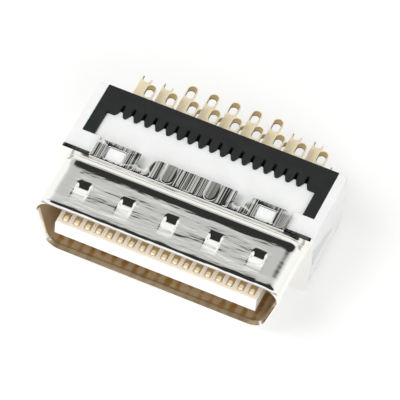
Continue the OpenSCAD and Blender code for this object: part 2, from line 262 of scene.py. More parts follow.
def millimetres(tree):
    """Object coordinates in millimetres"""
    coordinates = add(tree, "ShaderNodeTexCoord").outputs["Object"]
    return vector_maths(tree, "MULTIPLY", coordinates, (1 / MM,) * 3)["Vector"]


def surface_normal(tree):
    """Which way the surface faces"""
    return add(tree, "ShaderNodeNewGeometry").outputs["Normal"]


def ramp(tree, value, low, high, to_low=0.0, to_high=1.0):
    """Maps a range smoothly to another and clamps it"""
    made = add(tree, "ShaderNodeMapRange",
               {"Value": value, "From Min": low, "From Max": high, "To Min": to_low,
                "To Max": to_high},
               interpolation_type="SMOOTHSTEP")
    return made.outputs["Result"]


# The Mix node's sockets by kind: the two inputs, then the output
MIX_SOCKETS = {"FLOAT": (2, 3, 0), "RGBA": (6, 7, 2)}


def mixed(tree, kind, factor, a, b, **settings):
    """Goes from a to b as the factor goes from nought to one"""
    first, second, result = MIX_SOCKETS[kind]
    made = add(tree, "ShaderNodeMix", {"Factor": factor}, data_type=kind, **settings)
    put(tree, a, made.inputs[first])
    put(tree, b, made.inputs[second])
    return made.outputs[result]


def blend_values(tree, factor, a, b):
    """Blends two numbers"""
    return mixed(tree, "FLOAT", factor, a, b)


def blend_colours(tree, factor, a, b):
    """Blends two colours"""
    return mixed(tree, "RGBA", factor, a, b)


def toned(colour, factor):
    """A colour made darker or lighter"""
    return tuple(factor * c for c in colour)


# A grain's noise: its scale per millimetre along X, Y and Z, its detail and roughness, and its
# height in metres where it raises the surface
Grain = namedtuple("Grain", "scale detail roughness height", defaults=(0.0,))
DRAWING_MARKS = Grain((0.12, 2.3, 2.3), 2.5, 0.6, 0.00002)
WALL_WAVES = Grain((0.13, 0.42, 0.42), 1.0, 0.5, 0.00013)
WALL_RIPPLES = Grain((0.3, 1.1, 1.1), 2.0, 0.5, 0.00008)
STRAP_LINES = Grain((2.4, 0.04, 0.04), 2.0, 0.55, 0.00011)
SMEARS = Grain((0.5, 0.8, 0.8), 3.0, 0.6)
GOLD_GRAIN = Grain((9.0, 0.8, 9.0), 4.0, 0.6, 0.00001)
WHITE_CLOUDS = Grain((0.5, 0.5, 0.5), 3.0, 0.5)
WHITE_PORES = Grain((9.0, 9.0, 9.0), 3.0, 0.6, 0.00001)
BLACK_CLOUDS = Grain((0.4, 0.8, 0.8), 4.0, 0.6)
BLACK_PORES = Grain((11.0, 11.0, 11.0), 3.0, 0.6, 0.00001)

# Zones in millimetres: where a mask starts and where it is full, then its values there, where
# they aren't nought and one
STRAPS_Y = (0.15, 0.3)
WALL_Y = (0.3, 0.0)
BEFORE_ROOT_Y = (-1.7, -1.1, 1.0, 0.2)
TO_CORNERS_X = (10.9, 11.6, 1.0, 0.12)
OFF_PAD_X = (0.8, 0.85, 0.12, 1.0)
OFF_WINDOW_X = (1.3, 1.1)
BEHIND_WINDOW_Y = (1.9, 2.1)
BEHIND_LIP_Y = (-7.15, -6.75)
LOWER_LIP_Y = (-6.4, -6.75)
INSIDE_Y = (0.0, -0.5)
FACING_IN = (-0.4, -1.6)
FLOOR_Z = (-2.7, -2.9)
AMBER_FLOOR_Z = (-2.6, -3.0)
CUT_X = (11.25, 11.4)
CUT_Z = (4.33, 4.37)
TAILS_Y = (8.0, 10.0)
BEAD = (0.34, 0.14)
DISH = (0.51, 0.47)
UPPER_ROW_Z = (2.2, 2.3)
TONGUE_Y = (-1.0, -3.0)

# Slots round which a contact's colour changes, for the painted highlight on its nose and the
# painted shade in its eyelets: the Y of the middle and the half length
BEAD_SLOT = (-6.32, 0.1)
UPPER_EYELET = (12.3, 0.41)
LOWER_EYELET = (15.08, 0.41)

# How strongly a surface that faces up counts as a top
TOPS = (0.3, 0.7)
DISH_TOPS = (0.3, 0.8)


def noise(tree, where, grain):
    """A grain's noise, from nought to one"""
    spread = vector_maths(tree, "MULTIPLY", where, grain.scale)["Vector"]
    made = add(tree, "ShaderNodeTexNoise",
               {"Vector": spread, "Scale": 1.0, "Detail": grain.detail,
                "Roughness": grain.roughness})
    return made.outputs["Fac"]


def swell(tree, where, grain, *masks):
    """A grain's height in metres about nought, where all its masks are full"""
    about_nought = maths(tree, "SUBTRACT", noise(tree, where, grain), 0.5)
    return product(tree, about_nought, *masks, grain.height)


def emboss(tree, shader, height, strength, distance):
    """Feeds a height into the shader's normal, with its distance in metres"""
    bump = add(tree, "ShaderNodeBump",
               {"Height": height, "Strength": strength, "Distance": distance})
    tree.links.new(bump.outputs["Normal"], shader.inputs["Normal"])


def plating_height(tree, where):
    """Heights of the plating's grain: along X on the drawn wall, along Y on the straps"""
    x, y, _ = axes(tree, where)
    far = maths(tree, "ABSOLUTE", x)
    on_wall = product(tree, ramp(tree, y, *BEFORE_ROOT_Y), ramp(tree, far, *TO_CORNERS_X),
                      ramp(tree, y, *WALL_Y))
    off_pad = ramp(tree, away_from(tree, far, PAD_X), *OFF_PAD_X)
    behind_window = product(tree, ramp(tree, away_from(tree, far, WINDOW_X), *OFF_WINDOW_X),
                            ramp(tree, y, *BEHIND_WINDOW_Y))
    off_bar = maths(tree, "SUBTRACT", 1.0, product(tree, behind_window, 0.8))
    marks, waves, ripples = (
        swell(tree, where, grain, on_wall) for grain in (DRAWING_MARKS, WALL_WAVES, WALL_RIPPLES))
    lines = swell(tree, where, STRAP_LINES, ramp(tree, y, *STRAPS_Y), off_pad, off_bar)
    return maths(tree, "ADD", maths(tree, "ADD", marks, waves), maths(tree, "ADD", ripples, lines))


def inner_face(tree, where):
    """A mask of the drawn wall's inner face, which is one inside and nought outside"""
    _, y, z = axes(tree, where)
    from_middle = vector_maths(tree, "MULTIPLY", where, (0.27, 0, 1))["Vector"]
    facing = vector_maths(tree, "DOT_PRODUCT", surface_normal(tree), from_middle)["Value"]
    behind_lip = maths(tree, "MAXIMUM", ramp(tree, y, *BEHIND_LIP_Y), ramp(tree, z, *FLOOR_Z))
    return product(tree, ramp(tree, facing, *FACING_IN), ramp(tree, y, *INSIDE_Y), behind_lip)


def plated_steel(finishes):
    """Bright nickel over rolled steel, duller inside the shell, with a painted reflection of the
    gold contacts and painted shade on the inner face, and painted shade on the cut ends beside the
    straps
    """
    material, tree, shader = new_material("plated_steel")
    where = millimetres(tree)
    x, y, z = axes(tree, where)
    inside = inner_face(tree, where)
    smears = noise(tree, where, SMEARS)
    # Painted reflection: amber patches one contact pitch apart on the shell's floor
    mirrored = maths(tree, "COSINE", product(tree, x, 2 * math.pi / PITCH))
    patches = ramp(tree, maths(tree, "ADD", mirrored, product(tree, smears, 6.0)), 2.4, 4.2)
    floor_reflection = product(tree, patches, ramp(tree, z, *AMBER_FLOOR_Z))
    inside_reflection = blend_colours(tree, floor_reflection, finishes.inside_reflection, finishes.floor_contact_reflection)
    # Painted shade: the inside tint turns darker towards the lower lip
    lower_lip_shade = product(tree, ramp(tree, z, *FLOOR_Z), ramp(tree, y, *LOWER_LIP_Y), 0.75)
    inside_reflection = blend_colours(tree, lower_lip_shade, inside_reflection, toned(finishes.inside_reflection, 0.45))
    # The inner face takes the painted reflection in place of the plating's colour
    colour = blend_colours(tree, inside, finishes.nickel, inside_reflection)
    # Painted shade on the flange's cut ends beside the straps
    cut = product(tree, ramp(tree, maths(tree, "ABSOLUTE", x), *CUT_X), ramp(tree, z, *CUT_Z))
    painted_cut_shade = blend_colours(tree, ramp(tree, smears, 0.3, 0.7), finishes.cut_shade_dark, finishes.cut_shade_light)
    put(tree, blend_colours(tree, cut, colour, painted_cut_shade), shader.inputs["Base Color"])
    put(tree, blend_values(tree, inside, 1.0, 0.6), shader.inputs["Metallic"])
    put(tree, blend_values(tree, inside, 0.07, 0.28), shader.inputs["Roughness"])
    emboss(tree, shader, plating_height(tree, where), 1.0, 1.0)
    return material


def across_contact(tree, x):
    """How far a place is from the middle of its contact, across the row"""
    turns = maths(tree, "FRACT", product(tree, x, 1 / PITCH))
    return product(tree, maths(tree, "SUBTRACT", turns, 0.5), PITCH)


def from_slot(tree, across, y, centre, half):
    """How far a place is from a line of a half length along Y through the middle of a contact"""
    beyond = maths(tree, "SUBTRACT", away_from(tree, y, centre), half)
    along = maths(tree, "MAXIMUM", beyond, 0.0)
    squares = maths(tree, "ADD", product(tree, across, across), product(tree, along, along))
    return maths(tree, "SQRT", squares)


def gold_plate(finishes):
    """Gold on the tongue with a painted highlight on each nose, paler flash on the tails and
    painted shade in their eyelets
    """
    material, tree, shader = new_material("gold_plate")
    where = millimetres(tree)
    x, y, z = axes(tree, where)
    up = axes(tree, surface_normal(tree))[2]
    on_tail = ramp(tree, y, *TAILS_Y)
    across = across_contact(tree, x)
    # Painted highlight: a bright, less metallic spot round the middle of each nose
    bead_highlight = ramp(tree, from_slot(tree, across, y, *BEAD_SLOT), *BEAD)
    tip = blend_colours(tree, bead_highlight, finishes.gold, finishes.bead_highlight)
    upper, lower = (ramp(tree, from_slot(tree, across, y, *slot), *DISH)
                    for slot in (UPPER_EYELET, LOWER_EYELET))
    in_upper_row = ramp(tree, maths(tree, "ABSOLUTE", z), *UPPER_ROW_Z)
    dish = maths(tree, "MAXIMUM", product(tree, upper, in_upper_row), lower)
    # Painted shade: the dishes are darker, and their faces that don't face up darker still
    dish_shade = blend_colours(tree, ramp(tree, up, *DISH_TOPS), finishes.eyelet_wall_shade, finishes.dish_shade)
    tail = blend_colours(tree, dish, finishes.gold_flash, dish_shade)
    grain = noise(tree, where, GOLD_GRAIN)
    shade = blend_colours(tree, ramp(tree, grain, 0.35, 0.7), finishes.worn_gold, (1, 1, 1))
    colour = mixed(tree, "RGBA", 1.0, blend_colours(tree, on_tail, tip, tail), shade,
                   blend_type="MULTIPLY")
    put(tree, colour, shader.inputs["Base Color"])
    tip_metal = ramp(tree, bead_highlight, 0.0, 1.0, 0.45, 0.05)
    put(tree, blend_values(tree, on_tail, tip_metal, 0.15), shader.inputs["Metallic"])
    put(tree, blend_values(tree, on_tail, 0.22, 0.34), shader.inputs["Roughness"])
    emboss(tree, shader, grain, 0.25, GOLD_GRAIN.height)
    return material


def white_moulding(finishes):
    """White glass-filled nylon with a faint mould texture, and a painted warm glow from the gold
    contacts on the tongue's upper face
    """
    material, tree, shader = new_material("white_moulding")
    where = millimetres(tree)
    clouds = ramp(tree, noise(tree, where, WHITE_CLOUDS), 0.3, 0.7)
    clean = blend_colours(tree, clouds, toned(finishes.white, 0.965), finishes.white)
    y, up = axes(tree, where)[1], axes(tree, surface_normal(tree))[2]
    # Painted light: a warm glow on the tongue's upward faces
    tongue_glow = product(tree, ramp(tree, y, *TONGUE_Y), ramp(tree, up, *TOPS))
    put(tree, blend_colours(tree, tongue_glow, clean, finishes.tongue), shader.inputs["Base Color"])
    shader.inputs["Roughness"].default_value = 0.42
    shader.inputs["Subsurface Weight"].default_value = 0.15
    shader.inputs["Subsurface Scale"].default_value = 0.6 * MM
    emboss(tree, shader, noise(tree, where, WHITE_PORES), 0.12, WHITE_PORES.height)
    return material


def black_moulding(finishes):
    """Black moulded nylon, satin, with a fine grain"""
    black = finishes.black
    material, tree, shader = new_material("black_moulding")
    where = millimetres(tree)
    clouds = ramp(tree, noise(tree, where, BLACK_CLOUDS), 0.35, 0.75)
    put(tree, blend_colours(tree, clouds, black, toned(black, 1.5)), shader.inputs["Base Color"])
    pores = noise(tree, where, BLACK_PORES)
    put(tree, ramp(tree, pores, 0.3, 0.7, 0.42, 0.56), shader.inputs["Roughness"])
    shader.inputs["Specular IOR Level"].default_value = 0.32
    emboss(tree, shader, pores, 0.2, BLACK_PORES.height)
    return material


def new_object(name, bm, material):
    """Turns a shape in millimetres into an object in metres and frees the shape"""
    bmesh.ops.scale(bm, vec=(MM, MM, MM), verts=bm.verts)
    mesh = bpy.data.meshes.new(name)
    bm.to_mesh(mesh)
    bm.free()
    mesh.materials.append(material)
    made = bpy.data.objects.new(name, mesh)
    bpy.context.scene.collection.objects.link(made)
    return made


def finish_piece(name, bm, material, node, smooth_angle=math.radians(35)):
    """Turns a shape in millimetres into the piece that stands for a node"""
    piece = new_object(name, bm, material)
    piece.data.shade_smooth()
    piece.data.set_sharp_from_angle(angle=smooth_angle)
    weighted = piece.modifiers.new("Flat faces stay flat", "WEIGHTED_NORMAL")
    weighted.keep_sharp = True
    weighted.weight = 80
    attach(piece, "root")
    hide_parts(node)


def only(kind, items):
    """The items of one kind of mesh element"""
    return [item for item in items if isinstance(item, kind)]


def everything(bm):
    """All of a shape's vertices, edges and faces"""
    return bm.verts[:] + bm.edges[:] + bm.faces[:]


def run(bm, vert, offset, steps=1):
    """Draws a straight line of edges on from a vertex and returns its last vertex"""
    for _ in range(steps):
        made = bmesh.ops.extrude_vert_indiv(bm, verts=[vert])
        vert = made["verts"][0]
        bmesh.ops.translate(bm, vec=Vector(offset) / steps, verts=[vert])
    return vert


def turn(bm, vert, centre, axis, angle, steps):
    """Draws an arc of edges on from a vertex and returns its last vertex"""
    made = bmesh.ops.spin(bm, geom=[vert], cent=centre, axis=axis, angle=angle, steps=steps)
    return only(bmesh.types.BMVert, made["geom_last"])[0]


def drag(bm, edges, offset, steps=1):
    """Sweeps a chain of edges along a straight line and returns the last chain"""
    for _ in range(steps):
        made = bmesh.ops.extrude_edge_only(bm, edges=edges)["geom"]
        edges = only(bmesh.types.BMEdge, made)
        bmesh.ops.translate(bm, vec=Vector(offset) / steps, verts=only(bmesh.types.BMVert, made))
    return edges


def swing(bm, edges, centre, angle, steps):
    """Sweeps a chain of edges round an axis along Y and returns the last chain"""
    verts = list({v for e in edges for v in e.verts})
    made = bmesh.ops.spin(bm, geom=verts + edges, cent=centre, axis=ALONG_Y, angle=angle,
                          steps=steps)
    return only(bmesh.types.BMEdge, made["geom_last"])


def add_shape(bm, part):
    """Adds another shape to this one and frees it"""
    mesh = bpy.data.meshes.new("part")
    part.to_mesh(mesh)
    part.free()
    bm.from_mesh(mesh)
    bpy.data.meshes.remove(mesh)


def merged_copy(node):
    """A merged copy of a node's mesh, in millimetres"""
    bm = bmesh.new()
    bm.from_mesh(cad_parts[node].data)
    bmesh.ops.scale(bm, vec=(1 / MM,) * 3, verts=bm.verts)
    bmesh.ops.remove_doubles(bm, verts=bm.verts, dist=TINY)
    bmesh.ops.dissolve_limit(bm, angle_limit=math.radians(1), verts=bm.verts, edges=bm.edges)
    return bm


def round_edges(bm, edges, width, segments=2):
    """Rounds some edges of a shape"""
    bmesh.ops.bevel(bm, geom=edges, offset=width, offset_type="OFFSET", segments=segments,
                    profile=0.5, affect="EDGES", material=-1, clamp_overlap=True)


def sharp_edges(bm, angle=math.radians(30)):
    """The edges at which a shape turns by more than an angle"""
    return [e for e in bm.edges if len(e.link_faces) == 2 and e.calc_face_angle(0) > angle]


def softened_copy(node, width):
    """A merged copy of a node's mesh, in millimetres, with its sharp edges rounded"""
    bm = merged_copy(node)
    round_edges(bm, sharp_edges(bm), width)
    return bm


NOSE_ROUND = 0.18          # millimetres, across the front end of a contact
CONTACT_EDGE_ROUND = 0.06  # millimetres


def contact_shape(node):
    """A contact with a round nose and softened edges, in millimetres"""
    bm = merged_copy(node)
    tip = min(v.co.y for v in bm.verts)
    height = max(abs(v.co.z) for v in bm.verts if v.co.y < tip + TINY)
    crest = [e for e in sharp_edges(bm)
             if all(v.co.y < 0 and abs(v.co.z) > height - TINY for v in e.verts)]
    round_edges(bm, crest, NOSE_ROUND, 4)
    round_edges(bm, sharp_edges(bm), CONTACT_EDGE_ROUND)
    return bm


# Steps of the mesh: outside, then inside, for the root and the lip
ROOT_STEPS = (8, 10)
LIP_STEPS = (12, 8)
LIP_EDGE_STEPS = 3
WALL_STEPS = 56
SIDE_STEPS = 2
TOP_CORNER_STEPS = 16
BOTTOM_CORNER_STEPS = 12
DENT_STEPS = 28
PLAIN_STEPS = 3

# Half widths in millimetres of the fine stretch of mesh at a dent, and of the dent
TOP_STRETCH, BOTTOM_STRETCH = 1.0, 0.8
TOP_DENT, BOTTOM_DENT = 0.9, 0.76


def spans_over(half, s, stretch):
    """Splits a straight run into lengths and steps, fine over the dents and coarse between them"""
    spans, at = [], -half
    for middle in s["dent_places"]:
        spans.append((middle - stretch - at, PLAIN_STEPS))
        spans.append((2 * stretch, DENT_STEPS))
        at = middle + stretch
    spans.append((half - at, PLAIN_STEPS))
    return spans


def shell_sizes(sizes):
    """The shell's sizes in millimetres, with what follows from them"""
    s = {key: getattr(sizes, key) / MM for key in (
        "sheet", "half_width", "half_height", "depth", "top_corner", "bottom_corner", "lip", "root",
        "flare", "strap_depth", "dent_depth")}
    s["slant"], s["lip_angle"] = sizes.slant, sizes.lip_angle
    s["flange_x"], s["flange_z"] = sizes.flange_half_width / MM, sizes.flange_half_height / MM
    s["tilt"] = {1: sizes.strap_tilt, -1: sizes.lower_strap_tilt}
    s["whole_bend"] = {sign: QUARTER_TURN - tilt for sign, tilt in s["tilt"].items()}
    s["fold"] = s["flange_z"] - BEND
    s["lip_rise"] = s["lip"] * math.sin(s["lip_angle"])
    for key, radius, z in (("top_centre", s["top_corner"], s["half_height"] - s["top_corner"]),
                           ("bottom_centre", s["bottom_corner"],
                            s["bottom_corner"] - s["half_height"])):
        x = s["half_width"] + z * math.tan(s["slant"]) - radius / math.cos(s["slant"])
        s[key] = Vector((x, 0, z))
    step = sizes.dent_contacts * PITCH
    s["dent_places"] = [(i - (sizes.dents - 1) / 2) * step for i in range(sizes.dents)]
    s["top_spans"] = spans_over(s["top_centre"].x, s, TOP_STRETCH)
    s["bottom_spans"] = spans_over(s["bottom_centre"].x, s, BOTTOM_STRETCH)
    return s


def wall_chain(bm, s):
    """Draws the drawn wall's section, from the flange's front face round to its rear face.

    The section lies at the left end of the top's straight run.
    """
    x, z = -s["top_centre"].x, s["half_height"]
    straight = s["depth"] - s["lip_rise"] - s["root"]
    root_centre = (x, -s["root"], z + s["root"])
    lip_centre = (x, -s["depth"] + s["lip_rise"], z - s["lip"])
    into = Vector((0, math.sin(s["lip_angle"]), -math.cos(s["lip_angle"]))) * s["sheet"]
    vert = bm.verts.new((x, 0, z + s["root"]))
    vert = turn(bm, vert, root_centre, ALONG_X, -QUARTER_TURN, ROOT_STEPS[0])
    vert = run(bm, vert, (0, -straight, 0), WALL_STEPS)
    vert = turn(bm, vert, lip_centre, ALONG_X, s["lip_angle"], LIP_STEPS[0])
    vert = run(bm, vert, into, LIP_EDGE_STEPS)
    vert = turn(bm, vert, lip_centre, ALONG_X, -s["lip_angle"], LIP_STEPS[1])
    vert = run(bm, vert, (0, straight, 0), WALL_STEPS)
    turn(bm, vert, root_centre, ALONG_X, QUARTER_TURN, ROOT_STEPS[1])
    return list(bm.edges)


def drawn_wall(bm, s):
    """Carries the wall's section once round the D-shaped outline"""
    top, bottom, slant = s["top_centre"], s["bottom_centre"], s["slant"]
    mirrored_top, mirrored_bottom = Vector((-top.x, 0, top.z)), Vector((-bottom.x, 0, bottom.z))
    side = Vector((math.cos(slant), 0, -math.sin(slant)))
    down = (bottom + s["bottom_corner"] * side) - (top + s["top_corner"] * side)
    chain = wall_chain(bm, s)
    for length, steps in s["top_spans"]:
        chain = drag(bm, chain, (length, 0, 0), steps)
    chain = swing(bm, chain, top, QUARTER_TURN + slant, TOP_CORNER_STEPS)
    chain = drag(bm, chain, down, SIDE_STEPS)
    chain = swing(bm, chain, bottom, QUARTER_TURN - slant, BOTTOM_CORNER_STEPS)
    for length, steps in s["bottom_spans"]:
        chain = drag(bm, chain, (-length, 0, 0), steps)
    chain = swing(bm, chain, mirrored_bottom, QUARTER_TURN - slant, BOTTOM_CORNER_STEPS)
    chain = drag(bm, chain, (down.x, 0, -down.z), SIDE_STEPS)
    swing(bm, chain, mirrored_top, QUARTER_TURN + slant, TOP_CORNER_STEPS)
    bmesh.ops.remove_doubles(bm, verts=bm.verts, dist=TINY)


def smooth_step(low, high, value):
    """Rises smoothly from nought at the low value to one at the high one"""
    t = min(1.0, max(0.0, (value - low) / (high - low)))
    return t * t * (3 - 2 * t)


def outward(x, z, s):
    """Which way is out of the D-shaped outline at a place on the wall"""
    side = math.copysign(1, x)
    slant = s["slant"]
    for centre, lowest, highest in ((s["top_centre"], -slant, math.pi),
                                    (s["bottom_centre"], -math.pi, -slant)):
        sign = math.copysign(1, centre.z)
        dx, dz = abs(x) - centre.x, z - centre.z
        if dx <= 0 and dz * sign > 0:
            return Vector((0, 0, sign))
        if dx > 0 and lowest <= math.atan2(dz, dx) <= highest:
            return Vector((side * dx, 0, dz)).normalized()
    return Vector((side * math.cos(slant), 0, -math.sin(slant)))


# A dent's form in millimetres: its crease, its two slopes and how its sides fall away
DENT_Y = (-6, -2)
DENT_CREASE_Y = -3.65
DENT_FRONT = 2.3
DENT_FRONT_POWER = 1.8
DENT_REAR = 0.95
DENT_CREASE_ROUND = 0.2
DENT_TAPER = 0.12
DENT_SIDE_IN, DENT_SIDE_OUT = 0.24, 0.08


def dent_depth(x, y, widest, s):
    """How far a dent sinks at a place: a long front slope, a crease and a short rear slope"""
    away = min(abs(x - middle) for middle in s["dent_places"])
    front = DENT_CREASE_Y - DENT_FRONT
    if y < DENT_CREASE_Y:
        along = max(0.0, (y - DENT_CREASE_Y + DENT_FRONT) / DENT_FRONT) ** DENT_FRONT_POWER
    else:
        along = 1 - smooth_step(DENT_CREASE_Y - DENT_CREASE_ROUND, DENT_CREASE_Y + DENT_REAR, y)
    half = widest - DENT_TAPER * smooth_step(front, DENT_CREASE_Y, y)
    across = 1 - smooth_step(half - DENT_SIDE_IN, half + DENT_SIDE_OUT, away)
    return s["dent_depth"] * along * across


# Where the wall's flare starts, is at its steepest and ends, in millimetres, and the share of
# it that is lost at the shell's ends
FLARE_START_Y, FLARE_STEEP_Y, FLARE_CREST_Y = -1.8, -1.15, -0.62
FLARE_LOSS = 0.5
GROOVE_SLOPE = 0.105  # at which the wall sinks from there to its root
BULGE = 0.045         # millimetres by which the wall swells towards its lip
BULGE_DEPTH = (5.5, 6.6)


def wall_rise(y, out, s):
    """How far the wall stands out: it steepens to a crest, then sinks a little to its root"""
    bend = (FLARE_STEEP_Y - FLARE_START_Y) / 2
    along = min(y, FLARE_CREST_Y)
    if along < FLARE_STEEP_Y:
        grown = max(0.0, along - FLARE_START_Y) ** 2 / (4 * bend)
    else:
        grown = bend + along - FLARE_STEEP_Y
    sunk = GROOVE_SLOPE * max(0.0, min(y, -s["root"]) - FLARE_CREST_Y)
    flare = s["flare"] * (1 - FLARE_LOSS * abs(out.x))
    whole = bend + FLARE_CREST_Y - FLARE_STEEP_Y
    return flare * grown / whole - sunk + BULGE * smooth_step(*BULGE_DEPTH, -y)


def press_wall(bm, s):
    """Shapes the wall along its depth and presses the dents into its top and bottom"""
    for vert in bm.verts:
        x, y, z = vert.co
        out = outward(x, z, s)
        vert.co += wall_rise(y, out, s) * out
        if out.x == 0 and DENT_Y[0] < y < DENT_Y[1]:
            vert.co.z -= dent_depth(x, y, TOP_DENT if z > 0 else BOTTOM_DENT, s) * out.z


# The straps' places in millimetres: the outer radius of their bend, their half width, and the
# width of the slot in the flange at each end of the bend
BEND = 0.2
STRAP_X = 11.215
RELIEF = 0.15


def unrolled(s, sign, y):
    """The height in the flat blank of a place on a strap at a depth y behind the flange's face"""
    return s["fold"] + BEND * s["whole_bend"][sign] + y - BEND


def folded(spot, s):
    """Where a spot of the flat blank goes as the straps fold back: y is its depth in the sheet"""
    x, y, z = spot
    sign = 1 if z > 0 else -1
    past_fold = abs(z) - s["fold"]
    inner_y, inner_z = s["sheet"], s["fold"] + BEND - s["sheet"]
    radius = BEND - y
    if abs(x) > STRAP_X + 0.5 * RELIEF or past_fold < 0 and radius >= 0:
        return spot
    if past_fold < 0:
        return Vector((x, y, sign * min(abs(z), inner_z + (inner_y - y))))
    angle = min(past_fold / BEND, s["whole_bend"][sign])
    past_bend = max(0.0, past_fold - BEND * s["whole_bend"][sign])
    new_y = BEND - radius * math.cos(angle) + past_bend * math.sin(angle)
    new_z = s["fold"] + radius * math.sin(angle) + past_bend * math.cos(angle)
    if radius < 0 and new_y < inner_y:
        new_y, new_z = inner_y, inner_z
    return Vector((x, new_y, sign * new_z))


def fold_straps(bm, s):
    """Folds the straps of a shape back"""
    for vert in bm.verts:
        vert.co = folded(vert.co.copy(), s)


def rounded(points, rounds):
    """Rounds some corners of a closed outline, each by its own radius and steps"""
    bm = bmesh.new()
    verts = [bm.verts.new((x, 0, z)) for x, z in points]
    bm.faces.new(verts)
    for (radius, segments), corners in rounds:
        bmesh.ops.bevel(bm, geom=[verts[i] for i in corners], offset=radius, offset_type="OFFSET",
                        segments=segments, profile=0.5, affect="VERTICES", material=-1)
    face = max(bm.faces, key=lambda f: f.calc_area())
    outline = [(loop.vert.co.x, loop.vert.co.z) for loop in face.loops]
    bm.free()
    return outline


def draw_outline(bm, points, y):
    """Draws a closed outline at a depth y and returns its edges"""
    verts = [bm.verts.new((x, y, z)) for x, z in points]
    return [bm.edges.new(pair) for pair in zip(verts, verts[1:] + verts[:1])]


def copy_edges(bm, edges):
    """Draws another shape's edges in this one"""
    twins = {v: bm.verts.new(v.co) for e in edges for v in e.verts}
    return [bm.edges.new([twins[v] for v in e.verts]) for e in edges]


# The straps' details in millimetres
NOTCH_Y = 0.83
NOTCH_HALF = 0.6
NOTCH_MOUTH = 0.95
STRAP_CHAMFER = 0.5
WINDOW_Y = (0.4, 2.1)
WINDOW_HALF = 1.075
STRAP_EDGE_ROUND = 0.045
FOLD_STEPS = 8

# Rounds of the flat blank's corners: radius and steps
FLANGE_ROUND = (0.5, 8)
NOTCH_ROUND = (0.56, 8)
NOTCH_LIP_ROUND = (0.12, 3)
NOTCH_MOUTH_ROUND = (0.45, 6)
STRAP_ROUND = (0.12, 3)
WINDOW_ROUND = (0.16, 4)


def half_outline(s, sign):
    """The blank's edge on one side of the middle, with its strap, from left to right"""
    slot_x, fold = STRAP_X + RELIEF, s["fold"]
    rear, floor = unrolled(s, sign, s["strap_depth"]), unrolled(s, sign, NOTCH_Y)
    notch = (WINDOW_X + PAD_X) / 2
    points = [(-s["flange_x"], s["flange_z"]), (-slot_x, s["flange_z"]), (-slot_x, fold),
              (-STRAP_X, fold), (-STRAP_X, rear - STRAP_CHAMFER), (-STRAP_X + STRAP_CHAMFER, rear)]
    for x in (-notch, notch):
        points += [(x - NOTCH_HALF, rear), (x - NOTCH_HALF, floor),
                   (x + NOTCH_HALF, floor), (x + NOTCH_MOUTH, rear)]
    points += [(STRAP_X - STRAP_CHAMFER, rear), (STRAP_X, rear - STRAP_CHAMFER), (STRAP_X, fold),
               (slot_x, fold), (slot_x, s["flange_z"]), (s["flange_x"], s["flange_z"])]
    return [(x, sign * z) for x, z in points]


def blank_outlines(s):
    """The outlines of the flat blank: its edge with both straps, and the four latch windows"""
    upper, lower = half_outline(s, 1), half_outline(s, -1)
    last = 2 * len(upper) - 1

    def both(*corners):
        return list(corners) + [last - i for i in corners]

    outer = rounded(upper + lower[::-1], (
        (FLANGE_ROUND, both(0, len(upper) - 1)), (NOTCH_ROUND, both(7, 8, 11, 12)),
        (NOTCH_LIP_ROUND, both(6, 10)), (NOTCH_MOUTH_ROUND, both(9, 13)),
        (STRAP_ROUND, both(4, 5, 14, 15))))
    windows = []
    for x in (-WINDOW_X, WINDOW_X):
        left, right = x - WINDOW_HALF, x + WINDOW_HALF
        for sign in (-1, 1):
            low, high = (sign * unrolled(s, sign, y) for y in WINDOW_Y)
            window = [(left, low), (right, low), (right, high), (left, high)]
            windows.append(rounded(window, ((WINDOW_ROUND, range(4)),)))
    return [outer] + windows


def folded_blank(s, holes):
    """The flange with its two straps, filled round the shell's root while flat, then folded back"""
    bm = bmesh.new()
    outlines = blank_outlines(s)
    layers = []
    for y, hole in zip((0.0, s["sheet"]), holes):
        loops = [draw_outline(bm, points, y) for points in outlines]
        layers.append(loops)
        edges = [e for loop in loops for e in loop] + copy_edges(bm, hole)
        bmesh.ops.triangle_fill(bm, use_beauty=True, use_dissolve=False, edges=edges,
                                normal=-ALONG_Y)
    for front, rear in zip(*layers):
        bmesh.ops.bridge_loops(bm, edges=front + rear)
    bmesh.ops.recalc_face_normals(bm, faces=bm.faces)
    bmesh.ops.dissolve_limit(bm, angle_limit=math.radians(1), verts=[], edges=bm.edges)
    strap_rims = [e for e in sharp_edges(bm, math.radians(50))
                  if abs(e.verts[0].co.y - e.verts[1].co.y) < TINY
                  and max(abs(v.co.z) for v in e.verts) > s["fold"] + TINY]
    round_edges(bm, strap_rims, STRAP_EDGE_ROUND)
    bmesh.ops.triangulate(bm, faces=bm.faces)
    for step in range(FOLD_STEPS + 1):
        for sign in (-1, 1):
            height = s["fold"] + BEND * s["whole_bend"][sign] * step / FOLD_STEPS
            bmesh.ops.bisect_plane(bm, geom=everything(bm), dist=TINY / 10,
                                   plane_co=(0, 0, sign * height), plane_no=ALONG_Z)
    fold_straps(bm, s)
    bmesh.ops.remove_doubles(bm, verts=bm.verts, dist=TINY / 5)
    return bm


# A pressed pad in millimetres: its foot is sunk in the strap, and its rear end is cut off just
# before the strap's. A smaller face inside its flat top keeps the top's shading even.
PAD_HALF = 0.765
PAD_SUNK = 0.05
PAD_THICKNESS = 0.17
PAD_FRONT_Y = 0.15
PAD_OVERRUN = 0.4
PAD_SETBACK = 0.02
PAD_RIM_ROUND = 0.035
PAD_STEPS = 16
PAD_INNER_TOP = (0.6, 0.935, 1)


